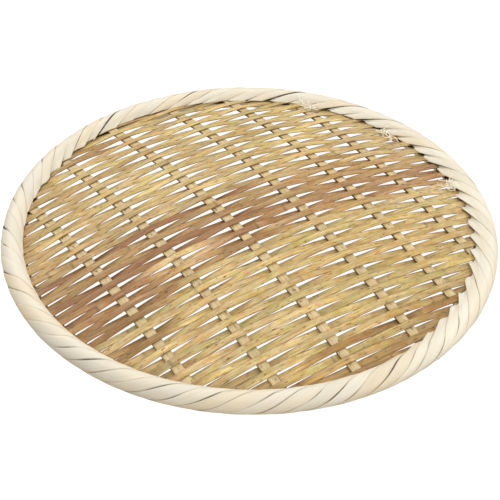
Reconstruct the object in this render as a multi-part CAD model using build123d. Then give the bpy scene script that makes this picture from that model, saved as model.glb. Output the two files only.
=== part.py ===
from build123d import *
import math
import os

# Flat round bamboo winnowing tray, lying with its woven dome upwards.
# Millimetres, +Z up. The origin is on the floor, below the centre of the rim.
# The weft strips run along X. The ribs run along Y, turned a little by the weaver.

# Rim
outer_diameter = 330.0
rim_thickness = 14.8
binding_wall = 0.8
hoop_clearance = 0.1
resting_flat_depth = 0.15
binding_count = 4
binding_joint_gap = 0.3

# Dome of the woven mat, above the middle of the rim
dome_rise = 24.0
edge_straightness = 0.218

# Weave
weft_count = 57
weft_pitch = 5.33
weft_width = 4.9
weft_thickness = 0.7
rib_width = 7.2
rib_thickness = 1.5
rib_places = (-111.0, -67.5, -20.5, 27.5, 70.0, 109.5)
rib_skew_degrees = 1.4
weave_clearance = 0.2
edge_tuck = 2.0
slot_clearance = 0.2
paired_wefts_each_side = 10
section_spacing = 14.0

# Sizes that follow from those above
rim_radius = rim_thickness / 2
rim_centre_radius = outer_diameter / 2 - rim_radius
rim_centre_height = rim_radius - resting_flat_depth
hoop_radius = rim_radius - binding_wall - hoop_clearance
weave_height = rib_thickness / 2 + weft_thickness / 2 + weave_clearance
slot_half_height = weave_height + weft_thickness / 2 + slot_clearance
strip_end_radius = rim_centre_radius + edge_tuck
rib_skew = math.tan(math.radians(rib_skew_degrees))


def dome_point(x, y):
    """The point of the mat's middle surface above x, y."""
    share = (x * x + y * y) / rim_centre_radius**2
    rise = dome_rise * (1 - share) * (1 - edge_straightness * share)
    return Vector(x, y, rim_centre_height + rise)


def dome_slopes(x, y):
    """The mat's slopes along X and Y at x, y."""
    share = (x * x + y * y) / rim_centre_radius**2
    by_share = dome_rise * (2 * edge_straightness * share - 1 - edge_straightness)
    per_length = 2 * by_share / rim_centre_radius**2
    return per_length * x, per_length * y


def strip_section(x, y, direction, lift, width, thickness):
    """A rectangle across a strip that runs along direction, lifted off the dome by lift."""
    slope_x, slope_y = dome_slopes(x, y)
    normal = Vector(-slope_x, -slope_y, 1).normalized()
    rise = slope_x * direction[0] + slope_y * direction[1]
    tangent = Vector(direction[0], direction[1], rise).normalized()
    centre = dome_point(x, y) + normal * lift
    return Plane(origin=centre, x_dir=normal.cross(tangent), z_dir=tangent) * Rectangle(width, thickness)


def evenly(start, end, spacing):
    """Places from start to end, both included, no further apart than spacing."""
    count = math.ceil(abs(end - start) / spacing)
    return [start + (end - start) * i / count for i in range(count + 1)]


# Wefts

def crossings(y):
    """Where the ribs cross the weft at y, with one more crossing hidden in the rim at each end."""
    places = [place - y * rib_skew for place in rib_places]
    first_span = places[1] - places[0]
    last_span = places[-1] - places[-2]
    return [places[0] - first_span, *places, places[-1] + last_span]


def weft_lift(x, y, step):
    """How far the weft stands off the dome at x: it goes over one rib and under the next."""
    ribs = crossings(y)
    for number in range(len(ribs) - 1):
        if x <= ribs[number + 1] or number == len(ribs) - 2:
            along = (x - ribs[number]) / (ribs[number + 1] - ribs[number])
            side = -1 if (step + number) % 2 == 0 else 1
            return side * weave_height * math.cos(math.pi * along)


def weft_stations(y):
    """Where the weft at y has its sections: at its ends, at both edges of each rib and between."""
    half_length = math.sqrt(strip_end_radius**2 - y * y)
    stops = [-half_length]
    for rib in crossings(y)[1:-1]:
        edges = (rib - rib_width / 2, rib + rib_width / 2)
        if -half_length + rib_width < rib < half_length - rib_width:
            stops.extend(edges)
    stops.append(half_length)
    stations = stops[:1]
    for start, end in zip(stops, stops[1:]):
        stations.extend(evenly(start, end, section_spacing)[1:])
    return stations


def make_weft(step):
    """The weft that is step strips in front of the middle one."""
    y = -step * weft_pitch
    sections = []
    for x in weft_stations(y):
        lift = weft_lift(x, y, step)
        sections.append(strip_section(x, y, (1, 0), lift, weft_width, weft_thickness))
    return loft(sections, ruled=True)


# Ribs

def make_rib(place):
    """The stiff rib that crosses the middle weft at x = place and follows the dome."""
    square = 1 + rib_skew**2
    middle = place * rib_skew / square
    reach = math.sqrt(middle**2 - (place**2 - strip_end_radius**2) / square)
    sections = []
    for y in evenly(middle - reach, middle + reach, section_spacing):
        x = place - y * rib_skew
        sections.append(strip_section(x, y, (-rib_skew, 1), 0, rib_width, rib_thickness))
    return loft(sections, ruled=True)


# Rim

def rim_plane():
    """The upright plane through the rim's section, with its own origin in the section's middle."""
    return Plane(origin=(rim_centre_radius, 0, rim_centre_height), x_dir=(1, 0, 0), z_dir=(0, -1, 0))


def mat_slope_degrees():
    """How steeply the mat runs down through the rim."""
    return math.degrees(math.atan(dome_slopes(rim_centre_radius, 0)[0]))


def make_hoop(side):
    """A half-round hoop that lies on the mat's edge (side 1) or under it (side -1)."""
    half = Pos(0, side * (slot_half_height + hoop_radius)) * Rectangle(4 * hoop_radius, 2 * hoop_radius)
    section = Circle(hoop_radius) & (Rot(0, 0, mat_slope_degrees()) * half)
    return revolve(rim_plane() * section, Axis.Z, 360)


def make_binding(number):
    """One length of bark binding round both hoops. The mat comes out of its slot."""
    ring = Circle(rim_radius) - Circle(rim_radius - binding_wall)
    slot = Pos(-rim_radius, 0) * Rectangle(2 * rim_radius, 2 * slot_half_height)
    floor_cut = Pos(0, -rim_centre_height - rim_radius) * Rectangle(4 * rim_radius, 2 * rim_radius)
    section = ring - (Rot(0, 0, mat_slope_degrees()) * slot) - floor_cut
    joint_turn = math.degrees(binding_joint_gap / rim_centre_radius)
    turn = 360 / binding_count
    arc = revolve(rim_plane() * section, Axis.Z, turn - joint_turn)
    return Rot(0, 0, number * turn + joint_turn / 2) * arc


def write_node(name, shapes):
    solids = [solid for shape in shapes for solid in shape.solids()]
    whole = solids[0] if len(solids) == 1 else Compound(solids)
    export_step(whole, f"parts/{name}.step")


def weft_groups():
    """Weft numbers, counted from the back, that share a node: short ones go in twos."""
    groups = [(n, n + 1) for n in range(1, paired_wefts_each_side, 2)]
    groups += [(n,) for n in range(paired_wefts_each_side + 1, weft_count - paired_wefts_each_side + 1)]
    groups += [(n, n + 1) for n in range(weft_count - paired_wefts_each_side + 1, weft_count, 2)]
    return groups


os.makedirs("parts", exist_ok=True)
middle_weft = (weft_count + 1) // 2
for group in weft_groups():
    name = "weft_" + "_".join(f"{number:02d}" for number in group)
    write_node(name, [make_weft(number - middle_weft) for number in group])
for number, place in enumerate(rib_places, start=1):
    write_node(f"rib_{number}", [make_rib(place)])
write_node("upper_hoop", [make_hoop(1)])
write_node("lower_hoop", [make_hoop(-1)])
for number in range(binding_count):
    write_node(f"binding_{number + 1}", [make_binding(number)])
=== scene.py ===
import math

import bpy
import numpy as np
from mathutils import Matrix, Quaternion, Vector


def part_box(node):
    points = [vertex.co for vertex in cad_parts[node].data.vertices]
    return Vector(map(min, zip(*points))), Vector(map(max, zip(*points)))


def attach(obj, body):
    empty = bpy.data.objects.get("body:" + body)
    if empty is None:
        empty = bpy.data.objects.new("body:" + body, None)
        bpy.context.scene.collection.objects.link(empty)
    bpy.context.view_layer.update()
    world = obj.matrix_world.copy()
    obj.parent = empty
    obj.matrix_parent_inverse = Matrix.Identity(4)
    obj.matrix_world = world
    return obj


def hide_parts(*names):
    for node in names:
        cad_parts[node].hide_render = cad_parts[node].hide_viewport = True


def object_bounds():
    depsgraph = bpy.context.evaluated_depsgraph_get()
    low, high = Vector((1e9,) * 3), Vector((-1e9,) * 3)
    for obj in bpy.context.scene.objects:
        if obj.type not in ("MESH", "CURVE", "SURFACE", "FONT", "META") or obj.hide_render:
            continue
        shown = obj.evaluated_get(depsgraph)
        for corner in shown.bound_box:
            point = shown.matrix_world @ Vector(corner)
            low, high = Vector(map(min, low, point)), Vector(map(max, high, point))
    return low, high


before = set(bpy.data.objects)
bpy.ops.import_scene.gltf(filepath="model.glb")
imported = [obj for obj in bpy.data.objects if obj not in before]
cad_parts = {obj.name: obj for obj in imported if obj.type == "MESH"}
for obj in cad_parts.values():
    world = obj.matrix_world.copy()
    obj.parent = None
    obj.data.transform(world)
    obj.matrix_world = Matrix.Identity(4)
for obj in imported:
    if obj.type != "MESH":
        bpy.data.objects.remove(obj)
cad_low, cad_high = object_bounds()

MM = 0.001

# Each kind of strip draws its random numbers from a seed of its own
WEFT_SEED = 7000
RIB_SEED = 14000
LAYING_SEED = 17500
BINDING_SEED = 21000

# The rim and the dome of the mat, as the CAD model has them
TUBE_RADIUS = 7.4 * MM
RING_RADIUS = (cad_high.x - cad_low.x) / 2 - TUBE_RADIUS
RING_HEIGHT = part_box("binding_1")[1].z - TUBE_RADIUS
DOME_RISE = 24.0 * MM
EDGE_STRAIGHTNESS = 0.218
STRIP_END_RADIUS = RING_RADIUS + 2.0 * MM

# The weave
MIDDLE_WEFT = 29
WEFT_WIDTH = 5.34 * MM
WEFT_THICKNESS = 0.6 * MM
RIB_COUNT = 6
RIB_WIDTH = 7.2 * MM
RIB_THICKNESS = 1.7 * MM
RIB_SKEW = math.tan(math.radians(1.4))
WEAVE_HEIGHT = 1.7 * MM
WEAVE_STRAIGHTNESS = 0.6
# The rim presses the weave flat by this share up to HELD_WIDTH from it, and not at all beyond FREE_WIDTH
HELD_AT_RIM = 0.5
HELD_WIDTH = 4 * MM
FREE_WIDTH = 26 * MM
STATION_SPACING = 1.6 * MM

# The bark binding
BINDING_COUNT = 4
TURNS_PER_BINDING = 16
BARK_WIDTH = 9.5 * MM
BARK_THICKNESS = 0.22 * MM

# Added to a strip's number, so that no two strips share a grain
RIB_GRAIN = 100
TURN_GRAIN = 200
FIBRE_GRAIN = 400


def middle(node):
    low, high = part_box(node)
    return (low + high) / 2


WEFT_PITCH = middle("weft_29").y - middle("weft_30").y
RIB_PLACES = [middle(f"rib_{n}").x for n in range(1, RIB_COUNT + 1)]


# Mesh building

def ripple(rng, wavelength, parts=4):
    """A smooth random function of one length, between about -1 and 1."""
    lengths = wavelength * rng.uniform(0.6, 1.7, parts)
    phases = rng.uniform(0, 2 * math.pi, parts)

    def at(x):
        x = np.asarray(x, float)
        return sum(np.sin(2 * math.pi * x / n + p) for n, p in zip(lengths, phases)) / math.sqrt(parts)

    return at


class Shape:
    """Collects closed lofted strips, with the values that their material reads at each vertex."""

    def __init__(self):
        self.points = []
        self.faces = []
        self.grain = []
        self.tone = []
        self.edge = []
        self.count = 0

    def add(self, rings, along, across, seed, tone, edge):
        """rings is (stations, points round the section, 3). along and across are lengths on the strip."""
        rows, cols = rings.shape[:2]
        number = self.count + np.arange(rows * cols).reshape(rows, cols)
        here, ahead = number[:-1], number[1:]
        quads = np.stack([here, ahead, np.roll(ahead, -1, 1), np.roll(here, -1, 1)], -1)
        self.faces += quads.reshape(-1, 4).tolist()
        self.faces.append(number[0].tolist())
        self.faces.append(number[-1][::-1].tolist())
        self.points.append(rings.reshape(-1, 3))
        shape = (rows, cols)
        grain = np.stack([np.broadcast_to(v, shape) for v in (along, across, seed)], -1)
        self.grain.append(grain.reshape(-1, 3))
        self.tone.append(np.broadcast_to(tone, shape + (3,)).reshape(-1, 3))
        self.edge.append(np.broadcast_to(edge, shape).reshape(-1))
        self.count += rows * cols

    def make(self, name, material):
        mesh = bpy.data.meshes.new(name)
        mesh.from_pydata(np.concatenate(self.points).tolist(), [], self.faces)
        grain = mesh.attributes.new("grain", "FLOAT_VECTOR", "POINT")
        grain.data.foreach_set("vector", np.concatenate(self.grain).astype(np.float32).ravel())
        tone = np.concatenate(self.tone)
        tone = np.concatenate([tone, np.ones((len(tone), 1))], 1)
        colour = mesh.attributes.new("tone", "FLOAT_COLOR", "POINT")
        colour.data.foreach_set("color", tone.astype(np.float32).ravel())
        edge = mesh.attributes.new("edge", "FLOAT", "POINT")
        edge.data.foreach_set("value", np.concatenate(self.edge).astype(np.float32))
        mesh.shade_smooth()
        mesh.materials.append(material)
        mesh.update()
        piece = bpy.data.objects.new(name, mesh)
        bpy.context.collection.objects.link(piece)
        return piece


def place_piece(shape, name, material):
    """Makes the piece that stands for the CAD node of the same name."""
    piece = shape.make(name + "_look", material)
    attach(piece, "root")
    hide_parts(name)
    return piece


def linear(colour):
    """Linear light of an sRGB colour."""
    colour = np.asarray(colour, float)
    return np.where(colour <= 0.04045, colour / 12.92, ((colour + 0.055) / 1.055) ** 2.4)


def smooth_step(low, high, x):
    """0 up to low, 1 from high on, and a smooth rise between them."""
    t = np.clip((x - low) / (high - low), 0, 1)
    return t * t * (3 - 2 * t)


# The dome

def dome_height(x, y):
    share = (x * x + y * y) / RING_RADIUS**2
    return RING_HEIGHT + DOME_RISE * (1 - share) * (1 - EDGE_STRAIGHTNESS * share)


def dome_slopes(x, y):
    share = (x * x + y * y) / RING_RADIUS**2
    by_share = DOME_RISE * (2 * EDGE_STRAIGHTNESS * share - 1 - EDGE_STRAIGHTNESS)
    per_length = 2 * by_share / RING_RADIUS**2
    return per_length * x, per_length * y


def unit(v):
    return v / np.linalg.norm(v, axis=-1, keepdims=True)


# Strips of split bamboo

# The upper half of a strip's outline, from one edge to the other: the place across and the height, as
# shares of half the width and half the thickness
SECTION = (
    (-1.0, 0.25), (-0.95, 0.78), (-0.72, 0.97), (-0.25, 1.04),
    (0.25, 1.04), (0.72, 0.97), (0.95, 0.78), (1.0, 0.25),
)


def strip_rings(x, y, direction, lift, half_width, half_thickness, tilt):
    """Sections of a strip at the points x, y of the dome.

    They come with the place across of each of their points, as a length and as a share of half the width.
    """
    slope_x, slope_y = dome_slopes(x, y)
    one = np.ones_like(x)
    normal = unit(np.stack([-slope_x, -slope_y, one], -1))
    rise = slope_x * direction[0] + slope_y * direction[1]
    tangent = unit(np.stack([direction[0] * one, direction[1] * one, rise], -1))
    side = np.cross(normal, tangent)
    cos, sin = np.cos(tilt)[:, None], np.sin(tilt)[:, None]
    side, normal_turned = side * cos + normal * sin, normal * cos - side * sin
    centre = np.stack([x, y, dome_height(x, y)], -1) + normal * lift[:, None]
    top = np.array(SECTION)
    outline = np.concatenate([top, top[::-1] * (1, -1)])
    a = outline[:, 0][None, :, None] * half_width[:, None, None]
    b = outline[:, 1][None, :, None] * half_thickness[:, None, None]
    rings = centre[:, None] + side[:, None] * a + normal_turned[:, None] * b
    return rings, a[..., 0], outline[:, 0]


# Places along the weft where it is another colour: first and last weft, from and to (in ring radii),
# sRGB colour, strength. Weft 1 is at the back.
STAINS = (
    (8, 25, -1.0, -0.5, (0.73, 0.60, 0.40), 0.55),
    (12, 46, 0.62, 1.0, (0.82, 0.74, 0.61), 0.45),
    (11, 12, -0.8, 0.0, (0.72, 0.58, 0.38), 0.6),
    (4, 6, -0.5, -0.1, (0.66, 0.51, 0.30), 0.9),
    (7, 9, -0.35, -0.05, (0.73, 0.60, 0.40), 0.6),
    (13, 21, -0.05, 0.3, (0.75, 0.64, 0.45), 0.55),
    (25, 25, 0.45, 0.85, (0.65, 0.50, 0.34), 0.8),
    (26, 26, -1.0, 0.15, (0.56, 0.38, 0.22), 0.9),
    (27, 28, -1.0, 0.10, (0.67, 0.53, 0.34), 0.8),
    (29, 29, -1.0, 0.20, (0.64, 0.48, 0.32), 0.9),
    (27, 31, 0.15, 0.80, (0.69, 0.53, 0.37), 0.7),
    (30, 31, -1.0, 0.05, (0.58, 0.40, 0.24), 0.95),
    (31, 34, 0.0, 1.0, (0.69, 0.53, 0.37), 0.9),
    (28, 32, 0.88, 1.0, (0.54, 0.37, 0.23), 0.6),
    (32, 33, -1.0, 0.10, (0.60, 0.42, 0.26), 0.9),
    (32, 33, -0.52, -0.28, (0.90, 0.79, 0.62), 1.0),
    (34, 35, -1.0, 0.00, (0.61, 0.44, 0.27), 0.9),
    (34, 35, -0.45, -0.25, (0.82, 0.69, 0.51), 0.8),
    (35, 35, 0.10, 0.65, (0.71, 0.57, 0.39), 0.8),
    (36, 37, -1.0, -0.50, (0.57, 0.41, 0.23), 0.9),
    (36, 38, -0.45, -0.25, (0.88, 0.78, 0.58), 0.7),
    (40, 41, -0.9, -0.60, (0.57, 0.42, 0.23), 0.9),
    (39, 45, -0.1, 0.75, (0.77, 0.66, 0.45), 0.65),
    (46, 48, 0.1, 0.7, (0.77, 0.68, 0.46), 0.6),
    (46, 50, -0.6, 0.0, (0.87, 0.77, 0.58), 0.6),
    (53, 53, -0.25, 0.6, (0.62, 0.47, 0.27), 0.9),
    (52, 54, 0.15, 0.6, (0.64, 0.50, 0.30), 0.7),
    (55, 57, -0.4, 0.5, (0.70, 0.56, 0.36), 0.8),
)
# sRGB colours of the strips
WEFT_COLOURS = (
    (0.83, 0.74, 0.53), (0.80, 0.72, 0.50), (0.84, 0.73, 0.53),
    (0.80, 0.70, 0.50), (0.78, 0.68, 0.49),
)
RIB_COLOUR = (0.84, 0.75, 0.58)
KNOT_COLOUR = (0.83, 0.69, 0.53)
STAIN_FADE = 0.12
STAIN_JITTER = 0.05
# Brown where the wefts go into the rim: partly a real stain, partly painted shade cast by the rim on the
# weave
RIM_SHADE_AND_STAIN = (0.60, 0.47, 0.29)
RIM_SHADE_AND_STAIN_FULL = 5 * MM
RIM_SHADE_AND_STAIN_WIDTH = 18 * MM


def weft_tone(number, x, y, rng):
    """The linear colour along one weft. Near the rim it darkens, partly a real stain and partly painted
    shade of the rim over the weave.
    """
    share = x / RING_RADIUS
    base = np.array(WEFT_COLOURS[rng.integers(len(WEFT_COLOURS))]) * rng.uniform(0.94, 1.05)
    tone = np.tile(base, (len(x), 1))
    drift = ripple(rng, 0.7)(share)[:, None]
    tone = tone * (1 + 0.03 * drift)
    for first, last, start, end, colour, strength in STAINS:
        if not first <= number <= last:
            continue
        start = start + rng.uniform(-STAIN_JITTER, STAIN_JITTER)
        end = end + rng.uniform(-STAIN_JITTER, STAIN_JITTER)
        cover = smooth_step(start - STAIN_FADE, start + STAIN_FADE, share)
        cover = cover * (1 - smooth_step(end - STAIN_FADE, end + STAIN_FADE, share))
        cover = (cover * strength * rng.uniform(0.85, 1.0))[:, None]
        tone = tone * (1 - cover) + np.array(colour) * cover
    # Painted shade of the rim, mixed with a real stain: each weft darkens towards the rim
    near_rim = 1 - smooth_step(RIM_SHADE_AND_STAIN_FULL, RIM_SHADE_AND_STAIN_WIDTH, RING_RADIUS - np.hypot(x, y))
    cover = (near_rim * (0.5 + 0.2 * ripple(rng, 0.2)(share)))[:, None]
    tone = tone * (1 - cover) + np.array(RIM_SHADE_AND_STAIN) * cover
    return linear(np.clip(tone, 0, 1))


def crossings(y):
    """Where the ribs cross the weft at y, with one more crossing hidden in the rim at each end."""
    places = [place - y * RIB_SKEW for place in RIB_PLACES]
    return [2 * places[0] - places[1], *places, 2 * places[-1] - places[-2]]


def weft_lift(x, y, number):
    """How far a weft stands off the dome: over one rib and under the next."""
    ribs = np.array(crossings(y))
    span = np.clip(np.searchsorted(ribs, x) - 1, 0, len(ribs) - 2)
    along = (x - ribs[span]) / (ribs[span + 1] - ribs[span])
    side = np.where((number - MIDDLE_WEFT + span) % 2 == 0, -1.0, 1.0)
    wave = (1 - WEAVE_STRAIGHTNESS) * np.cos(math.pi * along) + WEAVE_STRAIGHTNESS * (1 - 2 * along)
    return side * WEAVE_HEIGHT * wave


def slackness(x, y):
    """How freely the weave waves: 1 in the open mat, less where the rim presses it flat."""
    return 1 - HELD_AT_RIM * (1 - smooth_step(HELD_WIDTH, FREE_WIDTH, RING_RADIUS - np.hypot(x, y)))


def knot_bump(x, place, width, height):
    """A bump along a strip at a joint of the cane: 1 at place, falling off over width."""
    return height * np.exp(-(((x - place) / width) ** 2))


# Joints of the cane that can be seen: weft number, place along it in ring radii
KNOTS = {17: (-0.52,), 27: (-0.13,), 42: (-0.1,), 43: (-0.25,), 38: (-0.45,), 33: (-0.8,), 24: (0.55,)}


def add_weft(shape, number):
    rng = np.random.default_rng(WEFT_SEED + number)
    y0 = (MIDDLE_WEFT - number) * WEFT_PITCH
    half_length = math.sqrt(STRIP_END_RADIUS**2 - y0**2)
    x = np.linspace(-half_length, half_length, int(2 * half_length / STATION_SPACING) + 1)
    y = y0 + 0.10 * MM * ripple(rng, 60 * MM)(x) + 0.35 * MM * np.sin(x / (48 * MM) + 0.35 * number)
    lift = weft_lift(x, y0, number) * slackness(x, y0) * (1 + 0.06 * ripple(rng, 90 * MM)(x))
    half_width = WEFT_WIDTH / 2 * (1 + rng.uniform(-0.03, 0.01) + 0.02 * ripple(rng, 35 * MM)(x))
    half_thickness = WEFT_THICKNESS / 2 * (1 + 0.06 * ripple(rng, 25 * MM)(x))
    tilt = np.radians(2.0 * ripple(rng, 70 * MM)(x) + rng.uniform(-1, 1))
    tone = weft_tone(number, x, y0, rng)
    places = [share * RING_RADIUS for share in KNOTS.get(number, ())]
    places.append(rng.uniform(-1.6, 1.6) * half_length)
    for place in places:
        knot = knot_bump(x, place, 1.3 * MM, 1.0)
        half_thickness = half_thickness + 0.16 * MM * knot
        half_width = half_width + 0.12 * MM * knot
        pale = knot_bump(x, place + 3 * MM, 4 * MM, 0.35)[:, None]
        tone = tone * (1 - pale) + linear(KNOT_COLOUR) * pale
        tone = tone * (1 - 0.45 * knot_bump(x, place, 0.8 * MM, 1.0))[:, None]
    rings, across, edge = strip_rings(x, y, (1, 0), lift, half_width, half_thickness, tilt)
    shape.add(rings, x[:, None], across, number, tone[:, None], np.abs(edge)[None])


def make_wefts(material):
    names = [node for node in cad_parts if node.startswith("weft_")]
    for name in sorted(names):
        shape = Shape()
        for number in name.split("_")[1:]:
            add_weft(shape, int(number))
        place_piece(shape, name, material)


def make_ribs(material):
    for number, place in enumerate(RIB_PLACES, start=1):
        rng = np.random.default_rng(RIB_SEED + number)
        square = 1 + RIB_SKEW**2
        centre = place * RIB_SKEW / square
        reach = math.sqrt(centre**2 - (place**2 - STRIP_END_RADIUS**2) / square)
        y = np.linspace(centre - reach, centre + reach, int(2 * reach / STATION_SPACING) + 1)
        x = place - y * RIB_SKEW + 0.15 * MM * ripple(rng, 120 * MM)(y)
        half_width = RIB_WIDTH / 2 * (1 + 0.02 * ripple(rng, 60 * MM)(y))
        half_thickness = RIB_THICKNESS / 2 * slackness(x, y) * (1 + 0.03 * ripple(rng, 40 * MM)(y))
        tilt = np.zeros_like(y)
        lift = np.zeros_like(y)
        tone = linear(np.array(RIB_COLOUR) * rng.uniform(0.97, 1.03))
        tone = tone * (1 + 0.05 * ripple(rng, 50 * MM)(y))[:, None]
        rings, across, edge = strip_rings(x, y, (-RIB_SKEW, 1), lift, half_width, half_thickness, tilt)
        shape = Shape()
        shape.add(rings, y[:, None], across, RIB_GRAIN + number, tone[:, None], np.abs(edge)[None])
        place_piece(shape, f"rib_{number}", material)


# The bark binding. A place on the rim is given by q, outwards from the middle of the rim's
# section, by z, upwards from it, and by s, along the rim. The strip was wound in several laps, so
# each turn is far longer than the distance to the next one and slants strongly.

MAT_SLOPE = -dome_slopes(RING_RADIUS, 0)[0]
MAT_HALF = WEAVE_HEIGHT + WEFT_THICKNESS / 2
# How far a turn runs along the rim in each mm of its way round it, outside and inside the rim
SLANT = 1.65
SLANT_INSIDE = 2.5
# How much deeper a turn's leading edge lies than its trailing edge
OVERLAP_STEP = 0.25 * MM
ROWS_UNDER, ROWS_ROUND, ROWS_TOP = 5, 60, 9
BARK_COLUMNS = 11
# The next turn covers a turn from this place across it on: -0.5 is its trailing edge, 0.5 its leading one
COVERED_SHARE = 0.33

# How far in the turns reach before they dive between two wefts: degrees round the rim, mm
REACH = ((-180, 0.0), (-95, 0.0), (-75, 2.0), (-58, 5.0), (-20, 5.5), (0, 4.0), (20, 2.5),
         (85, 1.7), (100, 4.5), (125, 4.5), (138, 0.6), (180, 0.0))
# How far the edges of the turns stand off inside the rim: degrees round the rim, mm
STAND_OFF = ((-180, 0.1), (-70, 0.1), (-40, 0.2), (-10, 0.3), (60, 0.3),
             (90, 0.2), (150, 0.1), (180, 0.1))
# How wide a turn gapes from the one before, on average: degrees round the rim, mm. Below 0 it overlaps.
GAPE = ((-180, 0.2), (-60, -0.2), (-30, -1.9), (110, -1.9), (150, 0.1), (180, 0.2))
# How far the turns' edges are darkened, partly by real browning and partly by painted shade in the seams,
# more on the side of the rim away from the light: degrees round the rim, share
SEAM_BROWNING_AND_SHADE = ((-180, 0.96), (-60, 0.96), (-30, 0.82), (110, 0.82), (150, 0.96), (180, 0.96))

# Turns that gape widely on top of the rim: turn number, gap
LOOSE_TURNS = {17: 3.0 * MM}
# Where round the section they gape most, and over how much of it, in radians
LOOSE_ANGLE = 1.9
LOOSE_LENGTH = 0.9

# How far the turns' ends lie below the highest strips of the mat
TIP_DEPTH = 1.1 * MM
# How far the turns reach under the mat
UNDER_REACH = 1.5 * MM
# How far the turns stay inside the rim's full thickness, and short of their reach over the mat
TURN_CLEARANCE = 0.05 * MM
TIP_SHORTFALL = 0.5 * MM
# How far back along the rim the first turn starts, and how far on from its outermost place a turn ends
FIRST_TURN_BACK = 18 * MM
TURN_ADVANCE = 45 * MM
PLACE_JITTER = 0.12
# The change of slant inside the rim takes about this length
SLANT_BLEND = 4 * MM
# The slope of a turn's end stays between these
END_SLOPE_LIMITS = (-0.15, 0.7)


def round_rim(table, angle):
    """A value from a table by the angle round the rim."""
    degrees = (math.degrees(angle) + 180) % 360 - 180
    return float(np.interp(degrees, [row[0] for row in table], [row[1] for row in table]))


def web_end(inset, side):
    """The q, z of a turn's end on the mat, inset from the rim. side is 1 on top and -1 below."""
    q = -(TUBE_RADIUS + inset)
    return q, -MAT_SLOPE * q + side * (MAT_HALF - TIP_DEPTH)


def turn_section(radius, inset_top, inset_under):
    """The path of one column of a turn: q, z, the angle of its outward side, and the length along it.

    It goes from the end under the mat round the outside of the rim to the end on top of the mat.
    """
    q1, z1 = web_end(inset_top, 1)
    q0, z0 = web_end(inset_under, -1)
    top = math.atan2(z1, q1) - math.acos(radius / math.hypot(q1, z1))
    under = math.atan2(z0, q0) - 2 * math.pi + math.acos(radius / math.hypot(q0, z0))
    arc = np.linspace(under, top, ROWS_ROUND)
    t0 = np.linspace(0, 1, ROWS_UNDER, endpoint=False)
    t1 = np.linspace(0, 1, ROWS_TOP + 1)[1:]
    start = (radius * math.cos(under), radius * math.sin(under))
    end = (radius * math.cos(top), radius * math.sin(top))
    q = np.concatenate([q0 + (start[0] - q0) * t0, radius * np.cos(arc), end[0] + (q1 - end[0]) * t1])
    z = np.concatenate([z0 + (start[1] - z0) * t0, radius * np.sin(arc), end[1] + (z1 - end[1]) * t1])
    angle = np.concatenate([np.full(len(t0), under), arc, np.full(len(t1), top)])
    length = np.concatenate([[0], np.cumsum(np.hypot(np.diff(q), np.diff(z)))])
    return q, z, angle, length - length[np.argmin(np.abs(angle))]


def advance(length):
    """How far along the rim a turn has gone after that length of its path, from the rim's outermost line."""
    quarter = math.pi / 2 * TUBE_RADIUS
    over = np.maximum(length - 0.95 * quarter, 0)
    blend = over**2 / (over + SLANT_BLEND)
    return SLANT * length + (SLANT_INSIDE - SLANT) * blend


def end_slope(angle):
    """How much further in each mm along the rim brings a turn's end, as the gap between two wefts runs."""
    tangent = math.tan(angle)
    steep = SLANT_INSIDE - tangent
    if steep > 0:
        return min(1 / max(steep, 0.1), END_SLOPE_LIMITS[1])
    return max(1 / min(steep, -0.1), END_SLOPE_LIMITS[0])


# sRGB colours of the bark
BARK_COLOURS = (
    (0.925, 0.895, 0.82), (0.94, 0.91, 0.83), (0.92, 0.885, 0.80),
    (0.93, 0.89, 0.80), (0.925, 0.87, 0.76),
)


def lay_turns():
    """Where the turns pass the rim's outermost line, and how wide they are there, in order round the rim."""
    rng = np.random.default_rng(LAYING_SEED)
    count = BINDING_COUNT * TURNS_PER_BINDING
    pitch = 2 * math.pi * RING_RADIUS / count
    jitter = rng.uniform(-PLACE_JITTER, PLACE_JITTER, count)
    places = (np.arange(count) + 0.5 + jitter) * pitch - FIRST_TURN_BACK
    widths = BARK_WIDTH * math.hypot(1, SLANT) * rng.uniform(0.97, 1.05, count)
    ends = places + widths / 2
    overlaps = np.roll(ends, 1) - (places - widths / 2)
    overlaps[0] -= 2 * math.pi * RING_RADIUS
    return list(zip(places, widths, overlaps))


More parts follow.
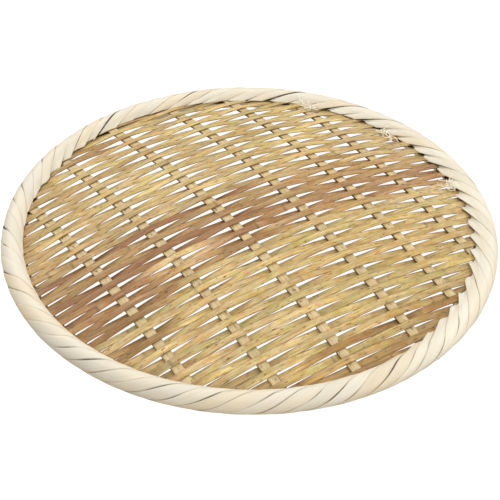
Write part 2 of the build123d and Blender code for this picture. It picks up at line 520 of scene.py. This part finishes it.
def add_turn(shape, number, place, rng):
    """One turn of the bark strip. Its trailing edge lies on the leading edge of the turn before."""
    s_outside, width, overlap = place
    end_angle = (s_outside + TURN_ADVANCE) / RING_RADIUS
    reach = round_rim(REACH, end_angle) * MM * rng.uniform(0.55, 1.2)
    stand_off = round_rim(STAND_OFF, end_angle) * MM * rng.uniform(0.0, 1.4)
    slope = end_slope(end_angle)
    gape = rng.normal(round_rim(GAPE, end_angle), 0.8) * MM
    stray = max(0.0, overlap + gape)
    gape_angle = rng.uniform(-0.4, 1.4)
    gape_length = rng.uniform(0.7, 1.4)
    if number in LOOSE_TURNS:
        stray = overlap + LOOSE_TURNS[number]
        gape_angle = LOOSE_ANGLE
        gape_length = LOOSE_LENGTH
    bulge = rng.uniform(0.10, 0.40) * MM
    phase = rng.uniform(0, 2 * math.pi)
    columns = np.linspace(-0.5, 0.5, BARK_COLUMNS)
    outer, inner, along, across = [], [], [], []
    for v in columns:
        furthest_in = COVERED_SHARE if slope > 0 else -0.5
        inset = slope * (furthest_in - v) * width
        inset = reach * float(smooth_step(-0.1 * reach, 1.1 * reach + 0.1 * MM, inset)) - TIP_SHORTFALL
        radius = TUBE_RADIUS - OVERLAP_STEP * (0.5 + v) - TURN_CLEARANCE
        q, z, angle, length = turn_section(radius, inset, UNDER_REACH)
        trailing = max(0.0, -2 * v) ** 2
        s = s_outside + advance(length) + v * width
        s = s + stray * trailing * np.exp(-(((angle - gape_angle) / gape_length) ** 2))
        off = bulge * (1 - 4 * v * v) + 0.06 * MM * np.sin(4 * angle + phase + 4 * v)
        share = np.arange(len(q)) / (len(q) - 1)
        flank = smooth_step(2.1, 2.7, angle) * (1 - smooth_step(0.75, 1.0, share))
        off = off + stand_off * trailing * flank
        q = q + off * np.cos(angle)
        z = z + off * np.sin(angle)
        theta = s / RING_RADIUS
        for depth, keep in ((0.0, outer), (BARK_THICKNESS, inner)):
            rho = RING_RADIUS + q - depth * np.cos(angle)
            height = np.maximum(RING_HEIGHT + z, OVERLAP_STEP * (0.5 + v)) - depth * np.sin(angle)
            keep.append(np.stack([rho * np.cos(theta), rho * np.sin(theta), height], -1))
        along.append(length * math.hypot(1, SLANT))
        across.append(np.full(len(q), v * BARK_WIDTH))
    rings = np.stack(inner + outer[::-1], 1)
    along = np.stack(along + along[::-1], 1)
    across = np.stack(across + across[::-1], 1)
    colour = np.array(BARK_COLOURS[rng.integers(len(BARK_COLOURS))])
    tone = linear(colour * rng.uniform(0.98, 1.01))
    off_middle = np.abs(np.concatenate([columns, columns[::-1]]))
    # The edges darken by the table above: real browning with painted shade in the seams
    edge = off_middle * 2 * round_rim(SEAM_BROWNING_AND_SHADE, end_angle)
    shape.add(rings, along, across, TURN_GRAIN + number, tone, edge[None])


# Where the bark is frayed: degrees round the rim, inwards from it
FRAYED = ((39.5, 3.5 * MM), (13.5, 6.0 * MM), (-15.6, 1.5 * MM))
FRAY_FIBRES = 18
FRAY_SPREAD = 3.2 * MM
FIBRE_SIDES = 5
FIBRE_STEP = 0.75 * MM
FIBRE_COLOUR = (1.0, 0.98, 0.91)


def add_fray(shape, degrees, inwards, rng):
    """A tuft of loose curling fibres on the inner side of the rim."""
    for fibre in range(FRAY_FIBRES):
        theta = math.radians(degrees) + rng.normal(0, FRAY_SPREAD) / RING_RADIUS
        q = -TUBE_RADIUS - inwards - rng.uniform(0.0, 3.0) * MM
        z = -MAT_SLOPE * q + MAT_HALF + rng.uniform(0.3, 1.5) * MM
        out = np.array([math.cos(theta), math.sin(theta), 0])
        along = np.array([-math.sin(theta), math.cos(theta), 0])
        up = np.array([0, 0, 1])
        point = out * (RING_RADIUS + q) + up * (RING_HEIGHT + z)
        heading = -out * rng.uniform(-0.1, 0.9) + along * rng.normal(0, 0.8) + up * rng.uniform(0, 0.5)
        heading = unit(heading)
        axis = unit(rng.normal(0, 1, 3))
        curl = rng.uniform(0.05, 0.3) * rng.choice((-1, 1))
        side = unit(np.cross(heading, axis))
        stations = int(rng.integers(8, 20))
        radius = rng.uniform(0.28, 0.48) * MM
        rings = []
        for station in range(stations):
            other = np.cross(heading, side)
            lowest = dome_height(point[0], point[1]) + WEAVE_HEIGHT + WEFT_THICKNESS
            point[2] = max(point[2], lowest)
            turn = np.arange(FIBRE_SIDES) * 2 * math.pi / FIBRE_SIDES
            size = radius * (1 - 0.6 * station / stations)
            circle = np.cos(turn)[:, None] * side - np.sin(turn)[:, None] * other
            rings.append(point + size * circle)
            point = point + heading * FIBRE_STEP
            heading = unit(heading + curl * other)
        rings = np.array(rings)
        lengths = np.arange(stations)[:, None] * MM
        shape.add(rings, lengths, 0.0, FIBRE_GRAIN + fibre, linear(FIBRE_COLOUR), 0.0)


def make_bindings(material):
    places = lay_turns()
    for binding in range(BINDING_COUNT):
        shape = Shape()
        rng = np.random.default_rng(BINDING_SEED + binding)
        for turn in range(TURNS_PER_BINDING):
            number = binding * TURNS_PER_BINDING + turn
            add_turn(shape, number, places[number], rng)
        for degrees, inwards in FRAYED:
            if int((degrees % 360) * BINDING_COUNT / 360) == binding:
                add_fray(shape, degrees, inwards, rng)
        place_piece(shape, f"binding_{binding + 1}", material)


# Materials

class Nodes:
    """A material's node tree, with short ways to add nodes and link them."""

    def __init__(self, name):
        self.material = bpy.data.materials.new(name)
        self.material.use_nodes = True
        self.tree = self.material.node_tree
        self.shader = self.tree.nodes["Principled BSDF"]

    def link(self, source, target):
        self.tree.links.new(source, target)

    def attribute(self, name, output):
        """A value that the mesh carries at its vertices."""
        node = self.tree.nodes.new("ShaderNodeAttribute")
        node.attribute_name = name
        return node.outputs[output]

    def noise(self, vector, stretch, detail=3.0, roughness=0.55):
        """Noise with that many cycles a metre along, across and between strips."""
        scaled = self.tree.nodes.new("ShaderNodeVectorMath")
        scaled.operation = "MULTIPLY"
        scaled.inputs[1].default_value = stretch
        self.link(vector, scaled.inputs[0])
        node = self.tree.nodes.new("ShaderNodeTexNoise")
        node.inputs["Scale"].default_value = 1.0
        node.inputs["Detail"].default_value = detail
        node.inputs["Roughness"].default_value = roughness
        self.link(scaled.outputs[0], node.inputs["Vector"])
        return node.outputs["Fac"]

    def remap(self, value, from_low, from_high, to_low, to_high):
        """The value with one range laid on another, and held at its ends."""
        node = self.tree.nodes.new("ShaderNodeMapRange")
        for socket, number in zip(node.inputs[1:5], (from_low, from_high, to_low, to_high)):
            socket.default_value = number
        self.link(value, node.inputs[0])
        return node.outputs[0]

    def math(self, operation, a, b):
        node = self.tree.nodes.new("ShaderNodeMath")
        node.operation = operation
        for socket, value in zip(node.inputs, (a, b)):
            if isinstance(value, (int, float)):
                socket.default_value = value
            else:
                self.link(value, socket)
        return node.outputs[0]

    def shade(self, colour, factor):
        """The colour times a grey factor."""
        node = self.tree.nodes.new("ShaderNodeVectorMath")
        node.operation = "SCALE"
        self.link(colour, node.inputs[0])
        self.link(factor, node.inputs["Scale"])
        return node.outputs[0]

    def mix(self, factor, colour, other):
        """The colour, turning into the fixed other colour where factor is 1."""
        node = self.tree.nodes.new("ShaderNodeMix")
        node.data_type = "RGBA"
        self.link(factor, node.inputs["Factor"])
        self.link(colour, node.inputs[6])
        node.inputs[7].default_value = (*linear(other), 1)
        return node.outputs[2]

    def tint(self, factor, colour, filter_colour):
        """The colour seen through a coloured filter where factor is 1."""
        node = self.tree.nodes.new("ShaderNodeMix")
        node.data_type = "RGBA"
        node.blend_type = "MULTIPLY"
        self.link(factor, node.inputs["Factor"])
        self.link(colour, node.inputs[6])
        node.inputs[7].default_value = (*filter_colour, 1)
        return node.outputs[2]

    def bump(self, height, distance):
        """Raises the surface by up to distance where height is 1."""
        node = self.tree.nodes.new("ShaderNodeBump")
        node.inputs["Strength"].default_value = 1.0
        node.inputs["Distance"].default_value = distance
        self.link(height, node.inputs["Height"])
        self.link(node.outputs[0], self.shader.inputs["Normal"])


# sRGB colours that mark the bamboo in places: real brown flecks, edges that are partly browned and partly
# painted shade between strips, and painted shade on the side faces
EDGE_BROWN_AND_SHADE = (0.50, 0.34, 0.18)
FLECK_BROWN = (0.36, 0.23, 0.12)
# Painted shade on the side faces of the strips
SIDE_SHADE_BROWN = (0.26, 0.16, 0.08)
# Filters that tint it, in linear light
GREEN_FILTER = (0.93, 0.97, 0.72)
WARM_FILTER = (0.98, 0.81, 0.68)
YELLOW_FILTER = (1.0, 0.96, 0.70)
# sRGB colours that mark the bark, with painted shade in its seams, and those of the hoops, which are dark
# browns of painted shade
BARK_WARM = (0.95, 0.86, 0.72)
BARK_EDGE_AND_SHADE = (0.55, 0.45, 0.30)
HOOP_SHADED_DARK = (0.34, 0.25, 0.15)
HOOP_SHADED_PALE = (0.42, 0.32, 0.19)


def bamboo_material(name, contrast, side_shade):
    """Split bamboo: long fibres, soft bands and small brown flecks, with edges darkened by real browning and
    painted shade, and side faces darkened by painted shade.
    """
    n = Nodes(name)
    grain = n.attribute("grain", "Vector")
    tone = n.attribute("tone", "Color")
    edge = n.attribute("edge", "Fac")
    fibres = n.noise(grain, (40, 1000, 9.7), detail=5, roughness=0.65)
    bands = n.noise(grain, (9, 330, 5.3), detail=2)
    clouds = n.noise(grain, (110, 260, 3.1), detail=4, roughness=0.7)
    warm = n.noise(grain, (150, 210, 6.1), detail=3)
    green = n.noise(grain, (95, 170, 4.3), detail=3)
    yellow = n.noise(grain, (60, 600, 8.5), detail=4)
    flecks = n.noise(grain, (230, 800, 7.9), detail=3)
    rims = n.noise(grain, (60, 20, 2.3), detail=3)
    fibre_shade = n.remap(fibres, 0.3, 0.7, 1 - 0.34 * contrast, 1 + 0.32 * contrast)
    band_shade = n.remap(bands, 0.3, 0.7, 1 - 0.14 * contrast, 1 + 0.14 * contrast)
    factor = n.math("MULTIPLY", fibre_shade, band_shade)
    cloud_shade = n.remap(clouds, 0.3, 0.7, 1 - 0.14 * contrast, 1 + 0.17 * contrast)
    factor = n.math("MULTIPLY", factor, cloud_shade)
    colour = n.shade(tone, factor)
    colour = n.tint(n.remap(green, 0.48, 0.64, 0.0, contrast), colour, GREEN_FILTER)
    colour = n.tint(n.remap(warm, 0.46, 0.64, 0.0, contrast), colour, WARM_FILTER)
    colour = n.tint(n.remap(yellow, 0.42, 0.62, 0.0, contrast), colour, YELLOW_FILTER)
    # Painted shade between neighbouring strips, mixed with real browning: the edges darken towards brown
    near_edge = n.remap(edge, 0.70, 0.97, 0.0, contrast)
    browned_and_shaded = n.math("MULTIPLY", near_edge, n.remap(rims, 0.38, 0.62, 0.1, 0.9))
    colour = n.mix(browned_and_shaded, colour, EDGE_BROWN_AND_SHADE)
    colour = n.mix(n.remap(flecks, 0.60, 0.70, 0.0, 0.85), colour, FLECK_BROWN)
    # Painted shade: the side faces of the strips, the ribs above all, are darkened as if in shadow
    colour = n.mix(n.remap(edge, 0.955, 0.99, 0.0, side_shade), colour, SIDE_SHADE_BROWN)
    n.link(colour, n.shader.inputs["Base Color"])
    n.link(n.remap(fibres, 0.3, 0.7, 0.62, 0.46), n.shader.inputs["Roughness"])
    n.bump(fibres, 0.16 * MM)
    return n.material


def bark_material():
    """Pale bark strip: fine streaks along it, soft warm patches, thin darker edges that are partly real
    browning and partly painted shade in the seams.
    """
    n = Nodes("bark_strip")
    grain = n.attribute("grain", "Vector")
    tone = n.attribute("tone", "Color")
    edge = n.attribute("edge", "Fac")
    streaks = n.noise(grain, (30, 1400, 8.3), detail=4)
    patches = n.noise(grain, (60, 120, 4.7), detail=2)
    seams = n.noise(grain, (45, 10, 2.9), detail=3)
    colour = n.shade(tone, n.remap(streaks, 0.3, 0.7, 0.92, 1.04))
    colour = n.mix(n.remap(patches, 0.45, 0.75, 0.0, 0.45), colour, BARK_WARM)
    # Painted shade in the seams between turns, mixed with real browning
    near_edge = n.remap(edge, 0.80, 0.97, 0.0, 1.0)
    browned_and_shaded = n.math("MULTIPLY", near_edge, n.remap(seams, 0.38, 0.60, 0.15, 0.85))
    colour = n.mix(browned_and_shaded, colour, BARK_EDGE_AND_SHADE)
    n.link(colour, n.shader.inputs["Base Color"])
    n.link(n.remap(streaks, 0.3, 0.7, 0.6, 0.48), n.shader.inputs["Roughness"])
    n.bump(streaks, 0.08 * MM)
    return n.material


def hoop_material():
    """The hidden hoops, seen only in the gaps of the binding: bamboo with fibres round the rim, in dark
    browns that are painted shade for the gaps.
    """
    n = Nodes("hoop_bamboo")
    place = n.tree.nodes.new("ShaderNodeTexCoord")
    rings = n.noise(place.outputs["Object"], (60, 60, 1500), detail=3)
    # Painted shade: the hoops take dark browns so that the gaps in the binding look shadowed
    colour = n.mix(rings, rings, HOOP_SHADED_DARK)
    colour = n.mix(n.remap(rings, 0.35, 0.65, 0.0, 1.0), colour, HOOP_SHADED_PALE)
    n.link(colour, n.shader.inputs["Base Color"])
    n.link(n.remap(rings, 0.3, 0.7, 0.65, 0.5), n.shader.inputs["Roughness"])
    n.bump(rings, 0.1 * MM)
    return n.material


# Stage, light and camera

CAMERA_AZIMUTH = -33.2
CAMERA_ELEVATION = 40.3
CAMERA_DISTANCE = 6.425 * RING_RADIUS
CAMERA_TARGET = Vector((-0.0625 * RING_RADIUS, -0.1004 * RING_RADIUS, RING_HEIGHT))
CAMERA_LENS = 110.5
SENSOR_WIDTH = 36
CAMERA_ROLL = math.radians(0.99)


def make_camera():
    data = bpy.data.cameras.new("camera")
    data.lens = CAMERA_LENS
    data.sensor_width = SENSOR_WIDTH
    camera = bpy.data.objects.new("camera", data)
    bpy.context.collection.objects.link(camera)
    a = math.radians(CAMERA_AZIMUTH)
    e = math.radians(CAMERA_ELEVATION)
    back = Vector((math.sin(a) * math.cos(e), -math.cos(a) * math.cos(e), math.sin(e)))
    camera.location = CAMERA_TARGET + back * CAMERA_DISTANCE
    camera.rotation_mode = "QUATERNION"
    camera.rotation_quaternion = (-back).to_track_quat("-Z", "Y") @ Quaternion((0, 0, 1), CAMERA_ROLL)
    bpy.context.scene.camera = camera


FLOOR_RADIUS = 4.5
SWEEP_RADIUS = 1.2
WALL_HEIGHT = 4.0
FLOOR_SIDES = 64
FLOOR_GREY = 0.1


def make_floor():
    """A white floor that sweeps up into a round white wall."""
    arc = np.linspace(0, math.pi / 2, 9)
    radii = [*(FLOOR_RADIUS + SWEEP_RADIUS * np.sin(arc)), FLOOR_RADIUS + SWEEP_RADIUS]
    heights = [*(SWEEP_RADIUS * (1 - np.cos(arc))), WALL_HEIGHT]
    around = np.arange(FLOOR_SIDES) * 2 * math.pi / FLOOR_SIDES
    points = [(r * math.cos(a), r * math.sin(a), z) for r, z in zip(radii, heights) for a in around]
    number = np.arange(len(points)).reshape(len(radii), FLOOR_SIDES)
    here, above = number[:-1], number[1:]
    quads = np.stack([here, np.roll(here, -1, 1), np.roll(above, -1, 1), above], -1)
    mesh = bpy.data.meshes.new("floor")
    mesh.from_pydata(points, [], [number[0].tolist(), *quads.reshape(-1, 4).tolist()])
    floor = bpy.data.objects.new("floor", mesh)
    bpy.context.collection.objects.link(floor)
    n = Nodes("floor_white")
    n.shader.inputs["Base Color"].default_value = (FLOOR_GREY, FLOOR_GREY, FLOOR_GREY, 1)
    n.shader.inputs["Roughness"].default_value = 1.0
    n.shader.inputs["Emission Color"].default_value = (1, 1, 1, 1)
    n.shader.inputs["Emission Strength"].default_value = 1.0
    mesh.materials.append(n.material)
    floor.visible_diffuse = False
    floor.visible_glossy = False
    floor.visible_shadow = False


# Name, direction from the tray, size and power of each lamp
LAMPS = (
    ("top", (-0.3, -0.4, 1.2), 2.6, 21),
    ("right", (0.95, -0.2, 0.8), 2.0, 24),
    ("back", (0.1, 0.95, 0.9), 2.0, 32),
    ("front", (0.3, -0.95, 0.15), 2.0, 31),
    ("left", (-0.95, 0.1, 0.25), 2.0, 9),
)
LAMP_DISTANCE = 3.0


def area_light(name, direction, size, energy):
    data = bpy.data.lights.new(name, "AREA")
    data.shape = "DISK"
    data.size = size
    data.energy = energy
    lamp = bpy.data.objects.new(name, data)
    bpy.context.collection.objects.link(lamp)
    direction = Vector(direction).normalized()
    lamp.location = direction * LAMP_DISTANCE
    lamp.rotation_mode = "QUATERNION"
    lamp.rotation_quaternion = direction.to_track_quat("Z", "Y")
    lamp.visible_camera = False


LIGHT_FROM_ABOVE = (0.5, 0.5, 0.5, 1)
LIGHT_FROM_BELOW = (0.44, 0.39, 0.32, 1)
# The two blend up to this height of the direction, above and below the horizon
HORIZON = 0.15


def make_light():
    for lamp in LAMPS:
        area_light(*lamp)
    world = bpy.data.worlds.new("studio")
    world.use_nodes = True
    tree = world.node_tree
    direction = tree.nodes.new("ShaderNodeTexCoord").outputs["Generated"]
    parts = tree.nodes.new("ShaderNodeSeparateXYZ")
    tree.links.new(direction, parts.inputs[0])
    ramp = tree.nodes.new("ShaderNodeMapRange")
    ramp.inputs["From Min"].default_value = -HORIZON
    ramp.inputs["From Max"].default_value = HORIZON
    tree.links.new(parts.outputs["Z"], ramp.inputs["Value"])
    sky = tree.nodes.new("ShaderNodeMix")
    sky.data_type = "RGBA"
    tree.links.new(ramp.outputs[0], sky.inputs["Factor"])
    sky.inputs[6].default_value = LIGHT_FROM_BELOW
    sky.inputs[7].default_value = LIGHT_FROM_ABOVE
    tree.links.new(sky.outputs[2], tree.nodes["Background"].inputs["Color"])
    bpy.context.scene.world = world
    bpy.context.scene.view_settings.view_transform = "Standard"


make_camera()
make_floor()
make_light()
# The last number is how dark the painted shade on the side faces is
make_wefts(bamboo_material("weft_bamboo", 1.0, 0.25))
make_ribs(bamboo_material("rib_bamboo", 0.5, 0.9))
make_bindings(bark_material())
hoops = hoop_material()
for hoop in ("upper_hoop", "lower_hoop"):
    for hoop_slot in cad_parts[hoop].material_slots:
        hoop_slot.material = hoops
